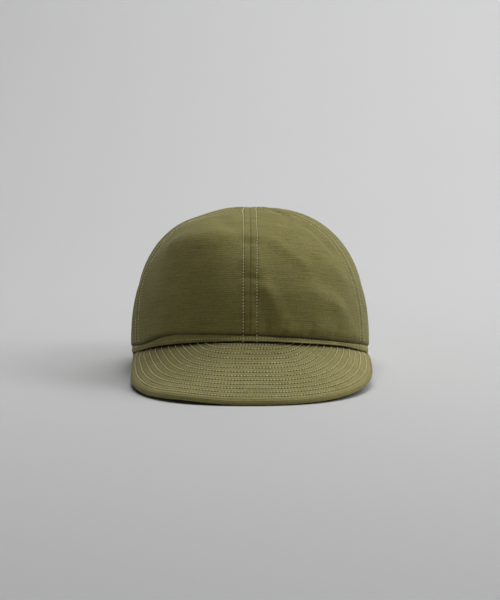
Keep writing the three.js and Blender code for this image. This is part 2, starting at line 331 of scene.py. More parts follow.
def crown_form(angle, rise):
    """A place on the crown, by the angle from the front and the rise, 0 at the hem and 1 at the peak."""
    hem = hem_edge(angle)
    power = 2 / profile_power(angle)
    turn = clip01(rise) * math.pi / 2
    inward = np.abs(np.cos(turn)) ** power
    upward = np.sin(turn) ** power
    x = hem[..., 0] * inward
    y = mixed(PEAK_BEHIND_MIDDLE, hem[..., 1], inward)
    return points_of(x, y, mixed(hem[..., 2], PEAK_HEIGHT, upward))


def crown_outward(angle, rise):
    low = np.clip(rise, *OUTWARD_RISES)
    around = crown_form(angle + ANGLE_STEP, low) - crown_form(angle - ANGLE_STEP, low)
    up = crown_form(angle, low + ANGLE_STEP) - crown_form(angle, low - ANGLE_STEP)
    return unit(np.cross(around, up))


# Tables of the distance up the crown from hem to peak, so that cloth can be measured along it
TABLE_ANGLES = np.radians(np.linspace(-180, 180, 181))
TABLE_SHARES = np.linspace(0, 1, 600)
TABLE_RISES = np.linspace(0, 1, 500) ** 1.6


def make_arc_tables():
    angle, rise = np.meshgrid(TABLE_ANGLES, TABLE_RISES, indexing="ij")
    steps = np.linalg.norm(np.diff(crown_form(angle, rise), axis=1), axis=2)
    arcs = np.concatenate([np.zeros((len(TABLE_ANGLES), 1)), np.cumsum(steps, axis=1)], axis=1)
    at_shares = np.array([np.interp(TABLE_SHARES * arc[-1], arc, TABLE_RISES) for arc in arcs])
    return arcs[:, -1], at_shares


ARC_LENGTHS, ARC_RISES = make_arc_tables()


def arc_length(angle):
    """The distance from the hem's edge to the peak, over the crown."""
    return np.interp(angle, TABLE_ANGLES, ARC_LENGTHS)


def rise_at(angle, height):
    """The rise at a distance up from the hem's edge, measured along the crown."""
    share = clip01(height / arc_length(angle))
    column = (np.asarray(angle) - TABLE_ANGLES[0]) / (TABLE_ANGLES[1] - TABLE_ANGLES[0])
    row = share * (len(TABLE_SHARES) - 1)
    left = np.clip(np.floor(column).astype(int), 0, len(TABLE_ANGLES) - 2)
    low = np.clip(np.floor(row).astype(int), 0, len(TABLE_SHARES) - 2)
    across, up = column - left, row - low
    lower = mixed(ARC_RISES[left, low], ARC_RISES[left + 1, low], across)
    upper = mixed(ARC_RISES[left, low + 1], ARC_RISES[left + 1, low + 1], across)
    return mixed(lower, upper, up)


# Rounds that settle the angle of a seam at a height
SEAM_ROUNDS = 3


def seam_base(seam):
    return math.radians(SEAMS[seam].deg)


def seam_angle(seam, rise):
    return np.radians(SEAMS[seam].deg + SEAMS[seam].drift * np.sin(math.pi * rise))


def seam_angle_at_height(seam, height):
    """A seam's angle where it is a given distance up from the hem's edge."""
    angle = np.full(np.shape(height), seam_base(seam))
    for _ in range(SEAM_ROUNDS):
        angle = seam_angle(seam, rise_at(angle, height))
    return angle


def width_of_a_radian(angle, rise):
    around = crown_form(angle + ANGLE_STEP, rise) - crown_form(angle - ANGLE_STEP, rise)
    return np.linalg.norm(around, axis=-1) / (2 * ANGLE_STEP)


# Relief of the cloth over the form

PANEL_OVERHANG = 0.7
PANEL_FULLNESS = 0.8
FULLNESS_FROM_PEAK = 30
BULGE_START_BELOW = 0.5
BULGE_FADE = 14
SIDE_SEAM_REACH = 16
SEAM_SHARE_AT_PEAK = 0.35
CROWN_WRINKLE = Unevenness(0.10, (26, 26, 9), 7)
CROWN_FINE_WRINKLE = Unevenness(0.035, (9, 9, 3.5), 8)
PUCKER_OVER_HEM = Unevenness(0.38, (5.2, 40, 1), 9)
PUCKER_OVER_HEM_REACH = 40
PUCKER_OVER_HEM_SPREAD = 14
SEAM_PUCKER_START = 1.2
MIDDLE_PUCKER_Y_SHARE = 0.7

# Distances over which relief comes in: of the folds from the crease, of the seams from the peak, and of the
# side seams from the middle ones
FOLDS_FROM_CREASE = (-0.3, 3)
SEAMS_FROM_PEAK = (2, 16)
SIDE_SEAMS_FROM_MIDDLE = (STITCH_OFFSET + 0.4, STITCH_OFFSET + 2)


def fold_relief(form, folds):
    """How far the folds of a table push the cloth out."""
    relief = np.zeros(form.shape[:-1])
    share = np.linspace(0, 1, FOLD_POINTS)
    for fold in folds:
        angle = np.radians(mixed(fold.deg, fold.to_deg, share))
        line = crown_form(angle, mixed(fold.rise, fold.to_rise, share))
        nearest = np.full(form.shape[:-1], np.inf)
        for place in line:
            nearest = np.minimum(nearest, ((form - place) ** 2).sum(axis=-1))
        relief -= fold.depth * np.exp(-nearest / fold.half_width**2)
    return relief


def crease_value(angle, column):
    """A column of the crease's table at an angle, rounded off between the table's rows."""
    degs = [row.deg for row in CREASE]
    levels = [getattr(row, column) for row in CREASE]
    values = [np.interp(np.degrees(angle) + shift, degs, levels) for shift in CREASE_ROUNDING_DEG]
    return sum(values) / len(values)


def crease_height(angle):
    return crease_value(angle, "height")


def seam_profile(distance, along, seed, pucker_depth):
    """The welt, its two rows of dimples and the groove of one seam, by the distance from the seam."""
    groove = -GROOVE_DEPTH * bell(distance, GROOVE_WIDTH)
    past_welt = smooth(distance, STITCH_OFFSET - WELT_EDGE_WITHIN, STITCH_OFFSET + WELT_EDGE_BEYOND)
    welt = WELT_HEIGHT * (1 - past_welt)
    dimple = -DIMPLE_DEPTH * bell(distance - STITCH_OFFSET, DIMPLE_WIDTH)
    pucker = uneven(points_of(along, distance, 0), Unevenness(pucker_depth, SEAM_PUCKER_SIZE, seed))
    near_seam = bell(distance - SEAM_PUCKER_FROM_SEAM, SEAM_PUCKER_SPREAD)
    pucker = pucker * near_seam * smooth(distance, 0, SEAM_PUCKER_START)
    return groove + welt + dimple + pucker


def side_seam_distances(angle, rise):
    """The distance from each of the four side seams, measured along the cloth."""
    width = width_of_a_radian(angle, rise)
    return [np.abs(angle - seam_angle(seam, rise)) * width for seam in SIDE_SEAMS]


def seams_relief(form, angle, rise, height):
    """The relief of the front and back seams and of the side seams, which end where they meet those two."""
    to_middle = np.abs(form[..., 0])
    along = form[..., 1] * MIDDLE_PUCKER_Y_SHARE + height
    relief = seam_profile(to_middle, along, 1, MIDDLE_PUCKER)
    beside_middle = smooth(to_middle, *SIDE_SEAMS_FROM_MIDDLE)
    for seed, distance in enumerate(side_seam_distances(angle, rise), 2):
        profile = seam_profile(distance, height, seed, SIDE_PUCKER)
        relief = relief + profile * beside_middle * (distance < SIDE_SEAM_REACH)
    return relief


def crown_relief(angle, rise, height, across):
    """The relief of the crown's cloth. across is the place between a panel's two seams, from 0 to 1."""
    form = crown_form(angle, rise)
    over_crease = height - crease_height(angle)
    bulge_height = crease_value(angle, "bulge_height")
    near_hem = np.exp(-np.maximum(over_crease - bulge_height, 0) / BULGE_FADE)
    overhang = mixed(PANEL_OVERHANG, crease_value(angle, "bulge"), near_hem)
    roll = quarter_round((over_crease + BULGE_START_BELOW) / bulge_height)
    from_peak = arc_length(angle) - height
    full = PANEL_FULLNESS * np.sin(math.pi * across) * smooth(from_peak, 0, FULLNESS_FROM_PEAK)

    wrinkle = uneven(form, CROWN_WRINKLE) + uneven(form, CROWN_FINE_WRINKLE)
    reach = PUCKER_OVER_HEM_REACH
    near_crease = bell(clip01(over_crease / reach) * reach, PUCKER_OVER_HEM_SPREAD)
    pucker = uneven(points_of(np.degrees(angle), over_crease, 0), PUCKER_OVER_HEM) * near_crease
    fade = smooth(over_crease, *FOLDS_FROM_CREASE)
    seam_share = mixed(SEAM_SHARE_AT_PEAK, 1, smooth(from_peak, *SEAMS_FROM_PEAK))
    seams = seams_relief(form, angle, rise, height) * seam_share
    folds = fold_relief(form, FOLDS) + fold_relief(form, PUCKERS)
    return overhang * roll + full + seams + (folds + wrinkle + pucker) * fade


def crown_surface(angle, height, across):
    """Places on the crown's cloth, and the crown's outward direction there."""
    rise = rise_at(angle, height)
    outward = crown_outward(angle, rise)
    relief = crown_relief(angle, rise, height, across)
    return crown_form(angle, rise) + outward * relief[..., None], outward


# Meshes


def frame_shift():
    """How far the crown's middle lies from the frame's origin, in millimetres."""
    low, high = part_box("hem_band")
    return np.array([(low.x + high.x) / 2 / MM, high.y / MM - CROWN_BACK, 0])


SHIFT = frame_shift()


def make_object(name, data):
    made = bpy.data.objects.new(name, data)
    bpy.context.scene.collection.objects.link(made)
    return made


def make_mesh(name, points, faces, material):
    """A smooth-shaded mesh object from lists of points, in metres, and faces."""
    mesh = bpy.data.meshes.new(name)
    mesh.from_pydata(points, [], faces)
    mesh.polygons.foreach_set("use_smooth", [True] * len(mesh.polygons))
    mesh.materials.append(material)
    mesh.update()
    return make_object(name, mesh)


def make_piece(name, points, faces, material):
    """A mesh object from an array of points in millimetres round the crown's middle."""
    return make_mesh(name, ((points + SHIFT) * MM).tolist(), faces, material)


def finish_piece(piece):
    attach(piece, "root")


def shell_faces(rows, columns):
    """Quads of a closed shell between two grids. Seen from outside, columns run right and rows run up."""
    outer = np.arange(rows * columns).reshape(rows, columns)
    inner = outer + rows * columns

    def quads(a, b, c, d):
        return np.stack([a.ravel(), b.ravel(), c.ravel(), d.ravel()], axis=1)

    parts = [
        quads(outer[:-1, :-1], outer[:-1, 1:], outer[1:, 1:], outer[1:, :-1]),
        quads(inner[:-1, :-1], inner[1:, :-1], inner[1:, 1:], inner[:-1, 1:]),
        quads(outer[:-1, 0], outer[1:, 0], inner[1:, 0], inner[:-1, 0]),
        quads(outer[1:, -1], outer[:-1, -1], inner[:-1, -1], inner[1:, -1]),
        quads(outer[0, 1:], outer[0, :-1], inner[0, :-1], inner[0, 1:]),
        quads(outer[-1, :-1], outer[-1, 1:], inner[-1, 1:], inner[-1, :-1]),
    ]
    return np.concatenate(parts).tolist()


def shell_object(name, outer, inner, material, cloth, stitch_row):
    """A closed shell of cloth.

    cloth holds the cloth's own measures, across and along, and how much painted shade a place gets in a
    hollow.
    stitch_row holds the distance from the nearest row of stitches, the measure along it, and how much
    painted shade a place gets in a seam's groove.
    """
    rows, columns = outer.shape[:2]
    points = np.concatenate([outer.reshape(-1, 3), inner.reshape(-1, 3)])
    piece = make_piece(name, points, shell_faces(rows, columns), material)
    for key, grids in (("cloth", cloth), ("stitch_row", stitch_row)):
        values = points_of(*grids).astype(np.float32).ravel()
        layer = piece.data.attributes.new(key, "FLOAT_VECTOR", "POINT")
        layer.data.foreach_set("vector", np.concatenate([values, values]))
    return piece


def grid_normals(points):
    """Unit normals of a grid whose columns run right and rows run up, seen from outside."""
    across = np.gradient(points, axis=1)
    up = np.gradient(points, axis=0)
    return unit(np.cross(across, up))


# The crown's panels

# Columns are close together beside the seams, and rows over the crease, given by their distance from it
EDGE_COLUMNS = (0.0, 0.2, 0.5, 0.85, 1.3, 1.9, 2.6, 3.3, 3.8, 4.2, 4.5, 4.8, 5.3, 5.9, 6.8, 7.8)
INNER_COLUMNS = 66
EDGE_ROWS = (-0.5, -0.4, -0.2, 0.1, 0.5, 1.0, 1.6, 2.4, 3.3)
INNER_ROWS = 124
PEAK_CLEARANCE = 0.25
ROW_START = 1.2

# In a panel narrower than this many edges, the columns of its edges are squeezed
ROOM_FOR_EDGES = 2.6

# Where the cloth's thickness comes in over the crease, and the painted shade in the hollow over the crease
CLOTH_FROM_CREASE = (1, 9)
PAINTED_SHADE_START = -0.4
WIDE_SHADE_SHARE = 0.5
WIDE_SHADE_REACH = 2.6

# The painted shade along a seam's groove, and a distance from the stitches at which no painted shade of a
# needle hole shows
SEAM_SHADE_WIDTH = 0.4
MIDDLE_SEAM_SHADE = 0.4
SIDE_SEAM_SHADE = 0.8
FAR_FROM_ROW = 9
SIDE_ROWS_FROM_MIDDLE = (STITCH_OFFSET + 0.4, STITCH_OFFSET + 1.5)


def panel_shares(width):
    """Where the columns of a panel's row lie between its seams, from 0 to 1."""
    squeeze = min(1, width / (ROOM_FOR_EDGES * EDGE_COLUMNS[-1]))
    edge = np.array(EDGE_COLUMNS) * squeeze / width
    inner = np.linspace(edge[-1], 1 - edge[-1], INNER_COLUMNS + 2)[1:-1]
    return np.concatenate([edge, inner, 1 - edge[::-1]])


def panel_grid(seams):
    """The angle, the height over the hem's edge and the place between the seams of a panel's points."""
    first, last = map(seam_base, seams)
    middle = (first + last) / 2
    shares = np.concatenate([np.zeros(len(EDGE_ROWS)), np.linspace(0, 1, INNER_ROWS + 1)[1:]])
    offsets = np.array(list(EDGE_ROWS) + [EDGE_ROWS[-1]] * INNER_ROWS)
    rows = []
    for share, offset in zip(shares, offsets):
        level = mixed(crease_height(middle) + offset, arc_length(middle) - PEAK_CLEARANCE, share)
        width = width_of_a_radian(np.array(middle), rise_at(middle, level)) * abs(last - first)
        rows.append(panel_shares(float(width)))
    across = np.array(rows)
    angle = mixed(first, last, across)
    for _ in range(SEAM_ROUNDS):
        start = crease_height(angle) + offsets[:, None]
        height = mixed(start, arc_length(angle) - PEAK_CLEARANCE, shares[:, None])
        rise = rise_at(angle, height)
        angle = mixed(seam_angle(seams[0], rise), seam_angle(seams[1], rise), across)
    return angle, height, across


def panel_rows(form, angle, rise):
    """The distance from the nearest row of seam stitches, and the painted shade in a seam's groove."""
    to_middle = np.abs(form[..., 0])
    off_middle = smooth(to_middle, *SIDE_ROWS_FROM_MIDDLE)
    from_row = np.abs(to_middle - STITCH_OFFSET)
    seam_groove_shade = MIDDLE_SEAM_SHADE * bell(to_middle, SEAM_SHADE_WIDTH)
    for distance in side_seam_distances(angle, rise):
        from_row = np.minimum(from_row, np.abs(distance - STITCH_OFFSET) + FAR_FROM_ROW * (1 - off_middle))
        seam_groove_shade = np.maximum(seam_groove_shade, SIDE_SEAM_SHADE * bell(distance, SEAM_SHADE_WIDTH) * off_middle)
    return from_row, seam_groove_shade


def crease_painted_shade(angle, over_crease):
    """How much painted shade a place gets in the hollow over the crease, with a wider and weaker painted
    shade round it.
    """
    reach = crease_value(angle, "hollow")
    narrow = 1 - smooth(over_crease, PAINTED_SHADE_START, reach)
    wide = WIDE_SHADE_SHARE * (1 - smooth(over_crease, 0, WIDE_SHADE_REACH * reach))
    return np.maximum(narrow, wide)


def make_panel(name, seams, material):
    angle, height, across = panel_grid(seams)
    rise = rise_at(angle, height)
    outer, outward = crown_surface(angle, height, across)
    over_crease = height - crease_height(angle)
    thickness = mixed(PANEL_EDGE_CLOTH, PANEL_CLOTH, smooth(over_crease, *CLOTH_FROM_CREASE))
    inner = outer - outward * thickness[..., None]
    from_row, seam_groove_shade = panel_rows(crown_form(angle, rise), angle, rise)
    first, last = map(seam_base, seams)
    row_start = crease_height(np.where(across < 0.5, first, last)) + ROW_START
    measure = (angle - (first + last) / 2) * width_of_a_radian(angle, rise)
    cloth = (measure, height, crease_painted_shade(angle, over_crease))
    stitch_row = (from_row, height - row_start, seam_groove_shade)
    piece = shell_object(f"cloth_panel_{name}", outer, inner, material, cloth, stitch_row)
    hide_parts(f"crown_panel_{name}")
    finish_piece(piece)


# The turned hem

HEM_COLUMNS = 1000
HEM_PROFILE_UP = (0.0, 0.12, 0.4, 0.8, 1.3, 1.8, 2.3, 2.7, 3.0, 3.3, 3.6, 3.9, 4.2)
HEM_STITCH_ROW = HEM_PROFILE_UP.index(HEM_STITCH_HEIGHT)
HEM_TOP_ROWS = 6
HEM_PAST_CREASE = 0.9
HEM_TOP_CLOTH = 0.5
HEM_TOP_TUCK = 1.5
HEM_FULLNESS = 0.5
HEM_OVER_VISOR = 1.2
OVER_VISOR_DEG = 44
BESIDE_VISOR_DEG = 72

# Its relief: the rounded edge, the flare, the furrow of its stitches, unevenness and the bumps at the seams
HEM_EDGE_ROUNDING = 0.6
HEM_EDGE_RADIUS = 1.0
HEM_FLARE_POWER = 0.9
HEM_ROW_DEPTH = 0.25
HEM_ROW_WIDTH = 0.45
HEM_PUCKER = Unevenness(0.16, (3.2, 9, 1), 21)
HEM_WAVE = Unevenness(0.22, (16, 30, 1), 22)
HEM_MM_PER_DEG = 1.55
HEM_SEAM_BUMP = 0.3
HEM_SEAM_BUMP_EDGE = (3.6, 6)
HEM_PUCKER_START = 2

# Where the hem goes under the crown, gets thinner and is darkened with painted shade, by height and over the
# crease
HEM_TUCK_AT_CREASE = (-1.3, 0.3)
HEM_THINNING = (3.6, 5.2)
HEM_SHADE_AT_CREASE = (-1.5, -0.2)
HEM_SHADE_OVER_VISOR = 0.5


def over_visor(angle):
    """1 where the hem lies over the visor, and 0 beside and behind it."""
    return 1 - smooth(np.abs(np.degrees(angle)), OVER_VISOR_DEG, BESIDE_VISOR_DEG)


def hem_relief(angle, up):
    """The relief of the hem's outer face at a height over its edge."""
    edge = -HEM_EDGE_ROUNDING * (1 - quarter_round(up / HEM_EDGE_RADIUS))
    flare = crease_value(angle, "flare") * clip01(1 - up / crease_height(angle)) ** HEM_FLARE_POWER
    row = -HEM_ROW_DEPTH * bell(up - HEM_STITCH_HEIGHT, HEM_ROW_WIDTH)
    places = points_of(np.degrees(angle) * HEM_MM_PER_DEG, up, 0)
    pucker = uneven(places, HEM_PUCKER) * smooth(up, 0, HEM_PUCKER_START)
    to_seams = [np.abs(angle - seam_angle(seam, 0)) * CROWN_FRONT for seam in SEAMS]
    bump = HEM_SEAM_BUMP * (1 - smooth(np.minimum.reduce(to_seams), *HEM_SEAM_BUMP_EDGE))
    return edge + (HEM_FULLNESS + flare) + row + pucker + uneven(places, HEM_WAVE) + bump


def hem_surface(angle, up):
    """Places on the hem's outer face, as its stitches need them, and its outward direction there."""
    outward = hem_outward(angle)
    return crown_form(angle, rise_at(angle, up)) + outward * hem_relief(angle, up)[:, None], outward


def make_hem(material):
    angle_line = np.linspace(-math.pi, math.pi, HEM_COLUMNS + 1)
    angle = np.tile(angle_line, (len(HEM_PROFILE_UP) + HEM_TOP_ROWS, 1))
    top = crease_height(angle_line) + HEM_PAST_CREASE
    steps = np.linspace(0, 1, HEM_TOP_ROWS + 1)[1:]
    low_rows = [np.full(len(angle_line), level) for level in HEM_PROFILE_UP]
    up = np.array(low_rows + [mixed(HEM_PROFILE_UP[-1], top, step) for step in steps])
    over_crease = up - crease_height(angle)
    form = crown_form(angle, rise_at(angle, up))
    form[..., 2] += HEM_OVER_VISOR * over_visor(angle) * (1 - smooth(up, 0, HEM_STITCH_HEIGHT))
    outward = hem_outward(angle)
    relief = hem_relief(angle, up) - HEM_TOP_TUCK * smooth(over_crease, *HEM_TUCK_AT_CREASE)
    outer = form + outward * relief[..., None]
    thickness = mixed(HEM_CLOTH, HEM_TOP_CLOTH, smooth(up, *HEM_THINNING))
    inner = form - outward * thickness[..., None]
    along = np.tile(length_along(outer[HEM_STITCH_ROW]), (len(up), 1))
    # Painted shade over the crease, and along the hem's lower edge where it lies over the visor
    hollow = smooth(over_crease, *HEM_SHADE_AT_CREASE)
    hollow = np.maximum(hollow, over_visor(angle) * (1 - smooth(up, 0, HEM_SHADE_OVER_VISOR)))
    stitch_row = (np.abs(up - HEM_STITCH_HEIGHT), along, 0)
    piece = shell_object("cloth_hem", outer, inner, material, (along, up, hollow), stitch_row)
    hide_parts("hem_band")
    finish_piece(piece)


# The visor

VISOR_COLUMNS = 420
VISOR_FINE_ROWS = 84
VISOR_RIM_INSET = 1.1
UNDER_ROWS = 60
RIM_POINTS = 2400
FEWEST_PLACES_IN_A_ROW = 9

# Its relief: furrows under the rows, deepest between two stitches, a rounded rim, and unevenness
FURROW_WIDTH = 0.95
FURROW_DEPTH = 0.24
FURROW_DEPTH_BETWEEN = 0.34
VISOR_FULLNESS = 0.1
VISOR_UNEVENNESS = (Unevenness(0.12, (14, 14, 40), 31), Unevenness(0.06, (3.5, 3.5, 40), 32))
RIM_ROUNDING = 0.5
RIM_ROUNDING_WIDTH = 1.4
ROOT_FADE = 0.06
# How far past the hem's cloth the painted shade at the visor's root reaches
ROOT_SHADE_REACH = 1.8
UNDER_RELIEF_SHARE = 0.8
RIM_RIPPLE_SIZE = np.array([5, 5, 40])
RIM_RIPPLE_SIZE_DOWN = 9
RIM_RIPPLE_SEED = 33
RIM_RIPPLE_DEPTH = 0.1
RIM_RIPPLE_ABOVE = 2.8

# The under cloth's section at the rim: how far in from the rim, and how far below the visor's upper face
RIM_SECTION = [
    (2.2, 0.75),
    (1.7, 0.34),
    (1.25, 0.14),
    (0.85, 0.2),
    (0.5, 0.42),
    (0.22, 0.8),
    (0.06, 1.3),
    (0.0, 1.75),
    (0.1, 2.3),
    (0.4, 2.85),
    (0.95, 3.3),
    (1.8, 3.5),
]
RIM_ROWS = len(RIM_SECTION)


def visor_root(side):
    """The visor's edge under the hem. side is -1 at the wearer's right end and 1 at the left one."""
    angle = math.radians(ROOT_END_DEG) * side
    tuck = HEM_CLOTH * (1 - side**8)
    root = hem_edge(angle) - hem_outward(angle) * np.asarray(tuck)[..., None]
    root[..., 2] += ROOT_RAISE * over_visor(angle) - VISOR_UNDER_HEM
    return root


def visor_rim(side):
    angle = math.radians(RIM_END_DEG) * side
    forward = np.cos(angle)
    superellipse = np.where(side > 0, RIM_POWER_WEARERS_LEFT, RIM_POWER_WEARERS_RIGHT)
    x = RIM_HALF_WIDTH * signed_power(np.sin(angle), 2 / np.where(forward > 0, superellipse, RIM_TAIL_POWER))
    y = RIM_MIDDLE_Y - RIM_REACH * np.where(forward > 0, np.abs(forward) ** (2 / superellipse), forward)
    quarter = np.minimum(np.abs(angle) / (math.pi / 2), 1)
    tail = clip01((np.abs(side) * RIM_END_DEG - 90) / (RIM_END_DEG - 90))
    lift = np.where(side > 0, RIM_LIFT_WEARERS_LEFT, RIM_LIFT_WEARERS_RIGHT)
    wave = RIM_WAVE_WEARERS_RIGHT * np.sin(math.pi * clip01(quarter / RIM_WAVE_END)) ** 2 * (side < 0)
    free_height = VISOR_THICKNESS + lift * quarter**RIM_LIFT_POWER + wave
    z = mixed(free_height, hem_lift(y) - VISOR_UNDER_HEM, tail**TAIL_RISE_POWER)
    return points_of(x + RIM_SHIFT_X * (1 - tail**2), y, z)


def visor_point(side, out):
    """A point of the visor's upper face. Beside the hem the face stays high, close under the hem's edge."""
    root, rim = visor_root(side), visor_rim(side)
    width = np.linalg.norm((rim - root)[..., :2], axis=-1)
    from_root = out * width
    point = mixed(root, rim, out[..., None])
    point[..., 2] -= VISOR_DISH * (1 - side * side) * 4 * out * (1 - out)
    slope = np.maximum(root[..., 2] - rim[..., 2], 0) / width
    point[..., 2] += slope * from_root * bell(from_root, ROOT_CURVE_LENGTH)
    return point


def visor_sides():
    """The places of the visor's columns, from end to end, and its width there."""
    side = np.linspace(-1, 1, VISOR_COLUMNS + 1)
    return side, np.linalg.norm(visor_root(side) - visor_rim(side), axis=-1)


def rim_distance(points):
    tree = tree_of(visor_rim(np.linspace(-1, 1, RIM_POINTS)))
    found = [tree.find(place)[2] for place in points.reshape(-1, 3).tolist()]
    return np.array(found).reshape(points.shape[:-1])


def visor_row_lines(sides, points, distance):
    """For each row of stitches, the places where the visor is that far from its rim, as runs of columns."""
    lines = []
    for row in range(VISOR_ROWS):
        wanted = FIRST_ROW_FROM_RIM + ROW_SPACING * row
        line_sides, line_points = [], []
        for column in range(points.shape[1]):
            fall = distance[:, column]
            if fall[-1] > wanted > fall[0]:
                at = int(np.argmax(fall > wanted))
                share = (wanted - fall[at - 1]) / (fall[at] - fall[at - 1])
                line_sides.append(sides[0, column])
                line_points.append(mixed(points[at - 1, column], points[at, column], share))
        if len(line_sides) >= FEWEST_PLACES_IN_A_ROW:
            lines.append((np.array(line_sides), np.array(line_points)))
    return lines


def visor_row_depth(sides, distance, lines):
    """The relief that the rows press into the visor, and the distance from and along the nearest row."""
    relief = np.zeros(distance.shape)
    from_row = np.full(distance.shape, ROW_SPACING)
    along_row = np.zeros(distance.shape)
    for row, (line_sides, line_points) in enumerate(lines):
        here = np.interp(sides, line_sides, length_along(line_points))
        away = distance - (FIRST_ROW_FROM_RIM + ROW_SPACING * row)
        between = np.cos(math.pi * here / STITCH_PITCH) ** 2
        relief -= bell(away, FURROW_WIDTH) * (FURROW_DEPTH + FURROW_DEPTH_BETWEEN * between)
        along_row = np.where(np.abs(away) < from_row, here, along_row)
        from_row = np.minimum(from_row, np.abs(away))
    return relief, from_row, along_row


def make_visor_top(material):
    side, width = visor_sides()
    out = np.linspace(1, 0, VISOR_FINE_ROWS + 1)[:, None] * (1 - VISOR_RIM_INSET / width)[None, :]
    sides = np.tile(side, (len(out), 1))
    points = visor_point(sides, out)
    distance = rim_distance(points)
    lines = visor_row_lines(sides, points, distance)
    relief, from_row, along_row = visor_row_depth(sides, distance, lines)
    relief += VISOR_FULLNESS
    for layer in VISOR_UNEVENNESS:
        relief += uneven(points, layer)
    relief -= RIM_ROUNDING * (1 - quarter_round((distance - VISOR_RIM_INSET) / RIM_ROUNDING_WIDTH))
    relief *= smooth(out, 0, ROOT_FADE)
    normals = grid_normals(points)
    from_root = np.linalg.norm((points - visor_root(sides))[..., :2], axis=-1)
    # Painted shade along the visor's root, close under the hem
    hollow = 1 - smooth(from_root - HEM_CLOTH, 0, ROOT_SHADE_REACH)
    outer = points + normals * relief[..., None]
    inner = points - normals * VISOR_CLOTH
    cloth = (points[..., 0], points[..., 1], hollow)
    piece = shell_object("cloth_visor_top", outer, inner, material, cloth, (from_row, along_row, 0))
    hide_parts("visor_top")
    finish_piece(piece)
    return lines, nearest_normals(points.reshape(-1, 3)[::3], normals.reshape(-1, 3)[::3])


def under_grid():
    """The under cloth's rows, from the rim's turn to the root: side, share out and depth of each point."""
    side, width = visor_sides()
    insets = [inset for inset, _ in RIM_SECTION]
    rows = [np.minimum(inset / width, 1) for inset in insets]
    rows += [mixed(insets[-1] / width, 1, share) for share in np.linspace(0, 1, UNDER_ROWS + 1)[1:]]
    depths = [depth for _, depth in RIM_SECTION] + [VISOR_THICKNESS] * UNDER_ROWS
    return np.tile(side, (len(rows), 1)), 1 - np.array(rows), np.array(depths)[:, None]


def under_measures(face):
    """The under cloth's own measures, which run along the rim and round it where the cloth wraps it."""
    across, along = face[..., 0].copy(), face[..., 1].copy()
    across[:RIM_ROWS] = length_along(face[0])
    along[:RIM_ROWS] = length_along(np.array(RIM_SECTION))[:, None]
    return across, along


def make_visor_under(material):
    sides, out, depths = under_grid()
    face = visor_point(sides, out)
    distance = np.zeros(out.shape)
    distance[RIM_ROWS:] = rim_distance(face[RIM_ROWS:])
    lines = visor_row_lines(sides, face, distance)
    relief, from_row, along_row = visor_row_depth(sides, distance, lines)
    places = face / RIM_RIPPLE_SIZE + depths[..., None] / RIM_RIPPLE_SIZE_DOWN
    ripple = RIM_RIPPLE_DEPTH * noise_at(places, RIM_RIPPLE_SEED)
    rough = relief * smooth(out, 0, ROOT_FADE) + ripple * (depths < RIM_RIPPLE_ABOVE)
    thinning = VISOR_END_THINNING * smooth(np.abs(sides), VISOR_END_SIDE, 1)
    outer = face.copy()
    outer[..., 2] -= depths * (1 - thinning) + rough * UNDER_RELIEF_SHARE
    outer = outer[:, ::-1]
    inner = outer - grid_normals(outer) * UNDER_CLOTH
    across, along = under_measures(face)
    cloth = (across[:, ::-1], along[:, ::-1], 0)
    stitch_row = (from_row[:, ::-1], along_row[:, ::-1], 0)
    piece = shell_object("cloth_visor_under", outer, inner, material, cloth, stitch_row)
    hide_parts("visor_under")
    finish_piece(piece)


# Stitches

# One stitch: rings along it, as shares of its length and of its radius, and how many sides they have
STITCH_RINGS = ((-0.43, 0.62), (-0.2, 0.98), (0.2, 0.98), (0.43, 0.62))
STITCH_SIDES = 6
STITCH_REACH = 0.4
STITCH_LENGTH_SPREAD = 0.06
STITCH_TURN_SPREAD = 0.05
STITCH_SEED = 5
LINE_END_CLEARANCE = 0.3
CROWN_STITCH_PROUD = 0.12
HEM_STITCH_PROUD = 0.1
VISOR_STITCH_SINK = 0.02
UNDER_STITCH_SINK = 0.2

# The rows beside the seams. Near the peak a middle row ends where it leaves its line, and a side row stops
# short of the middle rows and of the row on the peak's other side.
SEAM_LINE_STEP = 0.5
HEM_LINE_START = 0.5
HEM_LINE_STEP = 0.25
HEM_RUN_START = 0.35
HEM_LINE_POINTS = 1400
MIDDLE_ROW_DRIFT = 0.9
SIDE_ROW_CLEARANCE = 2.0
SIDE_ROW_MEETING = 0.3
NARROWEST_RADIAN = 4
PANEL_DEG = 60


def capsule():
    """The points and faces of one stitch of unit length and radius, along X, with Z up."""
    turns = np.arange(STITCH_SIDES) * 2 * math.pi / STITCH_SIDES
    points = [(-0.5, 0, 0)]
    for along, radius in STITCH_RINGS:
        points += [(along, radius * math.cos(turn), radius * math.sin(turn)) for turn in turns]
    points.append((0.5, 0, 0))
    end = len(points) - 1
    last = end - STITCH_SIDES
    faces = []
    for step in range(STITCH_SIDES):
        after = (step + 1) % STITCH_SIDES
        faces.append((0, 1 + after, 1 + step))
        for ring in range(len(STITCH_RINGS) - 1):
            low, high = 1 + ring * STITCH_SIDES, 1 + (ring + 1) * STITCH_SIDES
            faces.append((low + step, low + after, high + after))
            faces.append((low + step, high + after, high + step))
        faces.append((last + step, last + after, end))
    return np.array(points), np.array(faces)


def stitches_along(line, normals_at, start=0.5):
    """Centres, directions and normals of the stitches along a line. start is a share of the pitch."""
    along = length_along(line)
    middles = np.arange(start * STITCH_PITCH, along[-1] - LINE_END_CLEARANCE, STITCH_PITCH)

    def at(measure):
        return np.stack([np.interp(measure, along, line[:, axis]) for axis in range(3)], axis=1)

    centres = at(middles)
    return centres, unit(at(middles + STITCH_REACH) - at(middles - STITCH_REACH)), normals_at(centres)


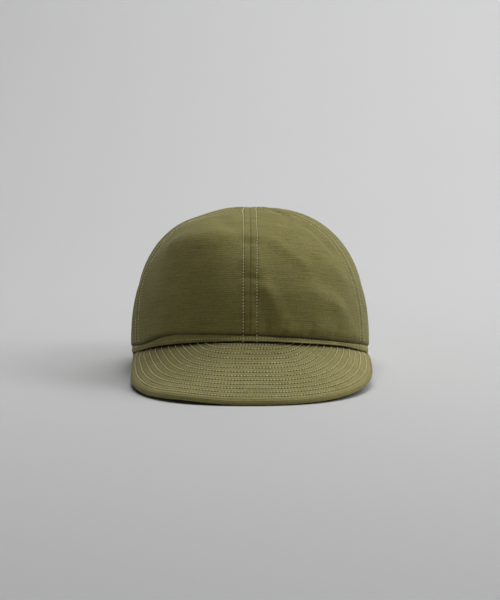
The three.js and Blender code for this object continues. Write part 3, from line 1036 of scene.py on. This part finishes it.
def make_stitches(name, runs, material, sink, radius=STITCH_RADIUS):
    """One mesh of all the stitches of some runs, sunk in the cloth, or proud of it if sink is negative."""
    template, template_faces = capsule()
    centres = np.concatenate([run[0] for run in runs])
    along = np.concatenate([run[1] for run in runs])
    up = np.concatenate([run[2] for run in runs])
    beside = unit(np.cross(up, along))
    up = unit(np.cross(along, beside))
    random = np.random.default_rng(STITCH_SEED)
    length = STITCH_LENGTH * (1 + STITCH_LENGTH_SPREAD * random.standard_normal(len(centres)))
    turn = STITCH_TURN_SPREAD * random.standard_normal(len(centres))
    along = unit(along + beside * turn[:, None])
    centres = centres - up * sink
    points = (
        centres[:, None]
        + template[None, :, 0:1] * (along * length[:, None])[:, None]
        + template[None, :, 1:2] * radius * beside[:, None]
        + template[None, :, 2:3] * radius * up[:, None]
    )
    offsets = np.arange(len(centres)) * len(template)
    faces = (template_faces[None] + offsets[:, None, None]).reshape(-1, 3)
    piece = make_piece(name, points.reshape(-1, 3), faces.tolist(), material)
    finish_piece(piece)


def angle_beside_middle(height, seam):
    """The angle from the front or back seam to its rows of stitches, at heights over the hem's edge."""
    base = seam_base(seam)
    form = crown_form(np.full(len(height), base), rise_at(base, height))
    inward = np.abs(form[..., 1] - PEAK_BEHIND_MIDDLE)
    inward = inward / abs(float(hem_edge(np.array(base))[1]) - PEAK_BEHIND_MIDDLE)
    share = clip01(STITCH_OFFSET / np.maximum(CROWN_HALF_WIDTH * inward, STITCH_OFFSET))
    return np.arcsin(share ** (PLAN_POWER / 2))


def in_row(form, seam):
    """Which places of a row carry stitches near the peak, where the rows come together."""
    from_middle = np.abs(form[:, 0])
    if seam in MIDDLE_SEAMS:
        return np.abs(from_middle - STITCH_OFFSET) < MIDDLE_ROW_DRIFT
    forward = math.copysign(1, math.cos(seam_base(seam)))
    before_peak = (PEAK_BEHIND_MIDDLE - form[:, 1]) * forward
    return (from_middle > STITCH_OFFSET + SIDE_ROW_CLEARANCE) & (before_peak > SIDE_ROW_MEETING)


def seam_row(seam, side):
    """One row of stitches beside a seam, as a line up the crown, with its normals. side is 1 or -1."""
    base = seam_base(seam)
    top = arc_length(base) - PEAK_CLEARANCE
    height = np.arange(float(crease_height(base)) + ROW_START, top, SEAM_LINE_STEP)
    middle = seam_angle_at_height(seam, height)
    width = width_of_a_radian(middle, rise_at(middle, height))
    if seam in MIDDLE_SEAMS:
        angle = base + side * angle_beside_middle(height, seam)
    else:
        angle = middle + side * STITCH_OFFSET / np.maximum(width, NARROWEST_RADIAN)
    keep = in_row(crown_form(angle, rise_at(angle, height)), seam)
    angle, height = angle[keep], height[keep]
    if seam == "back":
        angle = np.where(angle > math.pi, angle - 2 * math.pi, angle)
    across = STITCH_OFFSET / np.maximum(width[keep] * math.radians(PANEL_DEG), 2 * STITCH_OFFSET)
    return crown_surface(angle, height, across)


def make_seam_stitches(material):
    """The rows beside the crown's seams. The front seam's two rows run on over the hem."""
    runs = []
    for seam in (*MIDDLE_SEAMS, *SIDE_SEAMS):
        for side in (-1, 1):
            points, outward = seam_row(seam, side)
            runs.append(stitches_along(points, nearest_normals(points, outward)))
    up = np.arange(HEM_LINE_START, float(crease_height(np.array(0.0))), HEM_LINE_STEP)
    for side in (-1, 1):
        points, outward = hem_surface(side * angle_beside_middle(up, "front"), up)
        runs.append(stitches_along(points, nearest_normals(points, outward), HEM_RUN_START))
    make_stitches("stitches_crown_seams", runs, material, sink=-CROWN_STITCH_PROUD)


def make_hem_stitches(material):
    angle = np.linspace(-math.pi, math.pi, HEM_LINE_POINTS)
    points, outward = hem_surface(angle, np.full(len(angle), HEM_STITCH_HEIGHT))
    runs = [stitches_along(points, nearest_normals(points, outward))]
    make_stitches("stitches_hem", runs, material, sink=-HEM_STITCH_PROUD)


def make_visor_stitches(lines, normals_at, material):
    """The visor's rows above, and the same rows below, where they stop short of the visor's thin ends."""
    above = [stitches_along(points, normals_at) for _, points in lines]
    make_stitches("stitches_visor_top", above, material, sink=VISOR_STITCH_SINK, radius=VISOR_STITCH_RADIUS)
    under = []
    for sides, points in lines:
        centres, along, up = stitches_along(points[np.abs(sides) < VISOR_END_SIDE], normals_at)
        centres[:, 2] -= VISOR_THICKNESS - UNDER_STITCH_SINK
        under.append((centres, along, -up))
    make_stitches("stitches_visor_under", under, material, sink=0.0)


# Materials


class Nodes:
    """A short way to add and link the nodes of one material."""

    def __init__(self, name):
        self.material = bpy.data.materials.new(name)
        self.material.use_nodes = True
        self.tree = self.material.node_tree
        self.shader = self.tree.nodes["Principled BSDF"]

    def add(self, kind, inputs=None, **settings):
        node = self.tree.nodes.new(kind)
        for key, value in settings.items():
            setattr(node, key, value)
        for key, value in (inputs or {}).items():
            self.put(node.inputs[key], value)
        return node

    def put(self, socket, value):
        if isinstance(value, bpy.types.NodeSocket):
            self.tree.links.new(value, socket)
        else:
            socket.default_value = value

    def set(self, **values):
        """Puts values on the shader, whose sockets are named with an underscore for each space."""
        for key, value in values.items():
            self.put(self.shader.inputs[key.replace("_", " ")], value)

    def math(self, operation, first, second=0.0, third=0.0):
        return self.add("ShaderNodeMath", {0: first, 1: second, 2: third}, operation=operation).outputs[0]

    def step(self, value, low, high):
        inputs = {"Value": value, "From Min": low, "From Max": high, "To Min": 0.0, "To Max": 1.0}
        return self.add("ShaderNodeMapRange", inputs, interpolation_type="SMOOTHSTEP").outputs[0]

    def noise(self, vector, scale, detail=2.0):
        inputs = {"Vector": vector, "Scale": scale, "Detail": detail}
        return self.add("ShaderNodeTexNoise", inputs).outputs["Fac"]

    def vector_parts(self, attribute):
        """The three numbers of one of the mesh's vector attributes."""
        vector = self.add("ShaderNodeAttribute", attribute_name=attribute).outputs["Vector"]
        return list(self.add("ShaderNodeSeparateXYZ", {"Vector": vector}).outputs)

    def mix(self, factor, first, second):
        """A mix of two colours, which are sockets 6 and 7 of this node."""
        return self.add("ShaderNodeMix", {0: factor, 6: first, 7: second}, data_type="RGBA").outputs[2]

    def darken(self, color, pattern, share, dark):
        return self.mix(self.math("MULTIPLY", pattern, share), color, dark)

    def bump(self, height, strength, distance):
        inputs = {"Strength": strength, "Distance": distance * MM, "Height": height}
        return self.add("ShaderNodeBump", inputs).outputs["Normal"]


def linear(red, green, blue):
    """A colour from its screen values, 0 to 255."""

    def one(value):
        share = value / 255
        return share / 12.92 if share <= 0.04045 else ((share + 0.055) / 1.055) ** 2.4

    return (one(red), one(green), one(blue), 1.0)


def scaled(color, brightness, blue):
    return (color[0] * brightness, color[1] * brightness, color[2] * brightness * blue, 1.0)


OLIVE = linear(142, 136, 80)
OLIVE_DARK = linear(88, 79, 35)
OLIVE_PALE = linear(166, 160, 104)
# The colour of painted shade, in the hollows and in the pits between stitches
PAINTED_SHADE_COLOR = linear(38, 34, 16)
THREAD_DARK = linear(208, 199, 140)
THREAD_PALE = linear(240, 232, 176)
PAPER_DARK = (0.615, 0.615, 0.618, 1)
PAPER_PALE = (0.635, 0.635, 0.638, 1)

# The ribs of the weave, and how much the ribs across the cloth and along it darken it
RIB_SPACING = 1.38
RIB_START = 0.34
ROWS_SHARE = 0.6
COLUMNS_SHARE = 0.14

# Patterns of noise in the cloth: scales across and along it, detail, the levels between which a pattern
# rises from 0 to 1, and how much it darkens the cloth. The clouds lighten it instead.
Pattern = namedtuple("Pattern", "across along detail low high share")
CLOUD = Pattern(0.035, 0.05, 2.0, 0.3, 0.7, 0.3)
PATTERNS = {
    "slub": Pattern(0.022, 1.0, 3.0, 0.5, 0.7, 0.28),
    "fine_slub": Pattern(0.06, 1.6, 2.0, 0.48, 0.7, 0.25),
    "warp_slub": Pattern(0.9, 0.05, 3.0, 0.55, 0.75, 0.16),
    "grain": Pattern(2.4, 2.4, 2.0, 0.35, 0.75, 0.15),
    "crumple": Pattern(0.22, 0.4, 3.0, 0.42, 0.7, 0.12),
    "fleck": Pattern(0.55, 0.8, 2.0, 0.42, 0.64, 0.24),
}
# How much painted shade darkens a seam's groove
SEAM_SHADE_SHARE = 0.75
# How much painted shade darkens the hollows
PAINTED_SHADE_SHARE = 0.7
# The painted shade of the pits between stitches: where it starts and ends across a row, and its mean and
# swing along it
PIT_SHADE_START = 0.25
PIT_SHADE_END = 1.15
PIT_SHADE_MEAN = 0.56
PIT_SHADE_SWING = 0.44

# How much the ribs and patterns raise the cloth in its bump, and its roughness
ROWS_HEIGHT = 0.5
COLUMNS_HEIGHT = 0.2
SLUB_HEIGHT = 0.35
GRAIN_HEIGHT = 0.7
CRUMPLE_HEIGHT = 3.2
BUMP_STRENGTH = 0.7
ROUGHNESS = 0.84
GRAIN_ROUGHNESS = 0.12
THREAD_FLECK_SCALE = 1400.0


def painted_pit_shade(nodes, from_row, along_row):
    """Painted shade in the furrow of a row and in the pits between its stitches: 1 in a pit, and weak under
    a stitch.
    """
    turns = nodes.math("MULTIPLY", along_row, 2 * math.pi / STITCH_PITCH)
    between = nodes.math("MULTIPLY_ADD", nodes.math("COSINE", turns), PIT_SHADE_SWING, PIT_SHADE_MEAN)
    furrow_shade = nodes.math("SUBTRACT", 1.0, nodes.step(from_row, PIT_SHADE_START, PIT_SHADE_END))
    return nodes.math("MULTIPLY", furrow_shade, between)


def ripstop(name, brightness, blue, depth, pit_shade_share):
    """Ripstop cotton: fine ribs across the cloth, fainter ones along it, and the patterns."""
    base, dark, pale = (scaled(color, brightness, blue) for color in (OLIVE, OLIVE_DARK, OLIVE_PALE))
    nodes = Nodes(name)
    across, along, hollow = nodes.vector_parts("cloth")
    from_row, along_row, seam_groove_shade = nodes.vector_parts("stitch_row")

    def ribs(measure):
        wave = nodes.math("PINGPONG", nodes.math("DIVIDE", measure, RIB_SPACING), 0.5)
        return nodes.step(wave, RIB_START, 0.5)

    def raw(pattern):
        x = nodes.math("MULTIPLY", across, pattern.across)
        y = nodes.math("MULTIPLY", along, pattern.along)
        place = nodes.add("ShaderNodeCombineXYZ", {"X": x, "Y": y}).outputs[0]
        return nodes.noise(place, 1.0, pattern.detail)

    rows, columns = ribs(along), ribs(across)
    levels = {key: raw(pattern) for key, pattern in PATTERNS.items()}
    steps = {key: nodes.step(levels[key], pattern.low, pattern.high) for key, pattern in PATTERNS.items()}

    cloud = nodes.step(raw(CLOUD), CLOUD.low, CLOUD.high)
    color = nodes.mix(nodes.math("MULTIPLY", cloud, CLOUD.share), base, pale)
    color = nodes.darken(color, rows, ROWS_SHARE, dark)
    color = nodes.darken(color, columns, COLUMNS_SHARE, dark)
    for key, pattern in PATTERNS.items():
        color = nodes.darken(color, steps[key], pattern.share, dark)
    # Painted shade along the seams' grooves
    color = nodes.darken(color, seam_groove_shade, SEAM_SHADE_SHARE, dark)
    # Painted shade in the furrows of the rows and in the needle pits between stitches
    color = nodes.darken(color, painted_pit_shade(nodes, from_row, along_row), pit_shade_share, PAINTED_SHADE_COLOR)
    # Painted shade in the hollows over the crease, on the hem's edges and at the visor's root
    color = nodes.darken(color, hollow, PAINTED_SHADE_SHARE, PAINTED_SHADE_COLOR)

    height = nodes.math("MULTIPLY", rows, ROWS_HEIGHT)
    height = nodes.math("MULTIPLY_ADD", columns, COLUMNS_HEIGHT, height)
    height = nodes.math("MULTIPLY_ADD", steps["slub"], SLUB_HEIGHT, height)
    height = nodes.math("MULTIPLY_ADD", levels["grain"], GRAIN_HEIGHT, height)
    height = nodes.math("MULTIPLY_ADD", levels["crumple"], CRUMPLE_HEIGHT, height)
    roughness = nodes.math("MULTIPLY_ADD", levels["grain"], GRAIN_ROUGHNESS, ROUGHNESS)
    nodes.set(Base_Color=color, Normal=nodes.bump(height, BUMP_STRENGTH, depth), Roughness=roughness)
    nodes.set(Specular_IOR_Level=0.25, Sheen_Weight=0.07, Sheen_Roughness=0.5)
    return nodes.material


def thread_material():
    """Pale olive sewing thread with a fine twist."""
    nodes = Nodes("thread")
    place = nodes.add("ShaderNodeTexCoord").outputs["Object"]
    fleck = nodes.noise(place, THREAD_FLECK_SCALE)
    color = nodes.mix(nodes.step(fleck, 0.3, 0.7), THREAD_DARK, THREAD_PALE)
    nodes.set(Base_Color=color, Normal=nodes.bump(fleck, 0.4, 0.05))
    nodes.set(Roughness=0.6, Sheen_Weight=0.1)
    return nodes.material


def stage_material():
    """Matt pale studio paper."""
    nodes = Nodes("studio_paper")
    place = nodes.add("ShaderNodeTexCoord").outputs["Object"]
    color = nodes.mix(nodes.noise(place, 3.0), PAPER_DARK, PAPER_PALE)
    nodes.set(Base_Color=color, Roughness=0.85, Specular_IOR_Level=0.2)
    return nodes.material


# The stage, the lights and the camera, in metres

CAMERA_ELEVATION = math.radians(8)
CAMERA_DISTANCE = 1.5
MM_PER_PIXEL = 0.712
FRAME_HEIGHT_PIXELS = 600
SENSOR_MM = 36
AIM_HEIGHT = 0.05
AIM_ABOVE_MIDDLE_PIXELS = 3.7
NEAREST_SEEN = 0.05
FARTHEST_SEEN = 50

# The stage is a floor that curves up into a backdrop
STAGE_HALF_WIDTH = 4.0
STAGE_FRONT = -3.0
STAGE_BEND = 0.5
STAGE_RADIUS = 1.3
STAGE_HEIGHT = 3.4
STAGE_STEPS = 24

Light = namedtuple("Light", "name place aim width height power")
LIGHTS = [
    Light("overhead_softbox", (0.0, 0.15, 1.9), (0, 0.05, 0.05), 1.2, 0.9, 15.2),
    Light("upper_right_softbox", (1.1, 0.25, 1.6), (0, 0, 0.05), 1.0, 1.0, 5.4),
    Light("right_softbox", (1.6, -0.3, 1.2), (0, 0, 0.05), 0.9, 0.9, 11),
    Light("right_low_softbox", (2.0, 0.1, 0.7), (0, 0, 0.05), 0.9, 0.9, 0.4),
    Light("left_low_softbox", (-1.6, -0.5, 0.35), (0, 0, 0.05), 0.7, 0.5, 1.2),
    Light("backdrop_light", (0.8, 0.9, 1.9), (0.5, 1.8, 0.5), 1.6, 0.5, 17.0),
]


def make_camera():
    """The photograph's camera: 8 degrees over level, 1.5 m away, straight in front of the visor."""
    data = bpy.data.cameras.new("camera")
    camera = make_object("camera", data)
    half_view = FRAME_HEIGHT_PIXELS / 2 * MM_PER_PIXEL * MM / CAMERA_DISTANCE
    data.sensor_width = SENSOR_MM
    data.lens = SENSOR_MM / 2 / half_view
    data.shift_y = -AIM_ABOVE_MIDDLE_PIXELS / FRAME_HEIGHT_PIXELS
    data.clip_start = NEAREST_SEEN
    data.clip_end = FARTHEST_SEEN
    aim = Vector((SHIFT[0] * MM, SHIFT[1] * MM, AIM_HEIGHT))
    back = Vector((0, -math.cos(CAMERA_ELEVATION), math.sin(CAMERA_ELEVATION)))
    camera.location = aim + back * CAMERA_DISTANCE
    camera.rotation_euler = (-back).to_track_quat("-Z", "Y").to_euler()
    bpy.context.scene.camera = camera


def make_stage(material):
    """A floor that curves up into a backdrop, all in one sweep."""
    section = [(STAGE_FRONT, 0.0), (STAGE_BEND, 0.0)]
    for step in range(1, STAGE_STEPS + 1):
        turn = step / STAGE_STEPS * math.pi / 2
        y = STAGE_BEND + STAGE_RADIUS * math.sin(turn)
        section.append((y, STAGE_RADIUS * (1 - math.cos(turn))))
    section.append((STAGE_BEND + STAGE_RADIUS, STAGE_HEIGHT))
    points = [(x, y, z) for y, z in section for x in (-STAGE_HALF_WIDTH, STAGE_HALF_WIDTH)]
    faces = [(2 * i, 2 * i + 1, 2 * i + 3, 2 * i + 2) for i in range(len(section) - 1)]
    make_mesh("studio_sweep", points, faces, material)


def make_lights():
    """Soft lights overhead, from the right and low on the left, and one on the backdrop."""
    for light in LIGHTS:
        data = bpy.data.lights.new(light.name, "AREA")
        data.shape = "RECTANGLE"
        data.size = light.width
        data.size_y = light.height
        data.energy = light.power
        lamp = make_object(light.name, data)
        lamp.location = light.place
        ray = Vector(light.aim) - Vector(light.place)
        lamp.rotation_euler = ray.to_track_quat("-Z", "Y").to_euler()


def main():
    bpy.context.scene.view_settings.view_transform = "Standard"
    make_camera()
    make_stage(stage_material())
    make_lights()
    crown = ripstop("crown_cotton", brightness=1.03, blue=0.97, depth=0.10, pit_shade_share=0.5)
    # The hem, the visor and its under cloth are the crown's cloth painted lighter and less yellow: painted
    # light
    hem = ripstop("hem_cotton", brightness=1.42, blue=1.12, depth=0.10, pit_shade_share=0.3)
    visor = ripstop("visor_cotton", brightness=1.32, blue=1.2, depth=0.06, pit_shade_share=0.85)
    under = ripstop("visor_under_cotton", brightness=1.24, blue=1.1, depth=0.08, pit_shade_share=0.5)
    thread = thread_material()
    for name, seams in PANELS.items():
        make_panel(name, seams, crown)
    make_hem(hem)
    lines, normals_at = make_visor_top(visor)
    make_visor_under(under)
    make_seam_stitches(thread)
    make_hem_stitches(thread)
    make_visor_stitches(lines, normals_at, thread)


main()
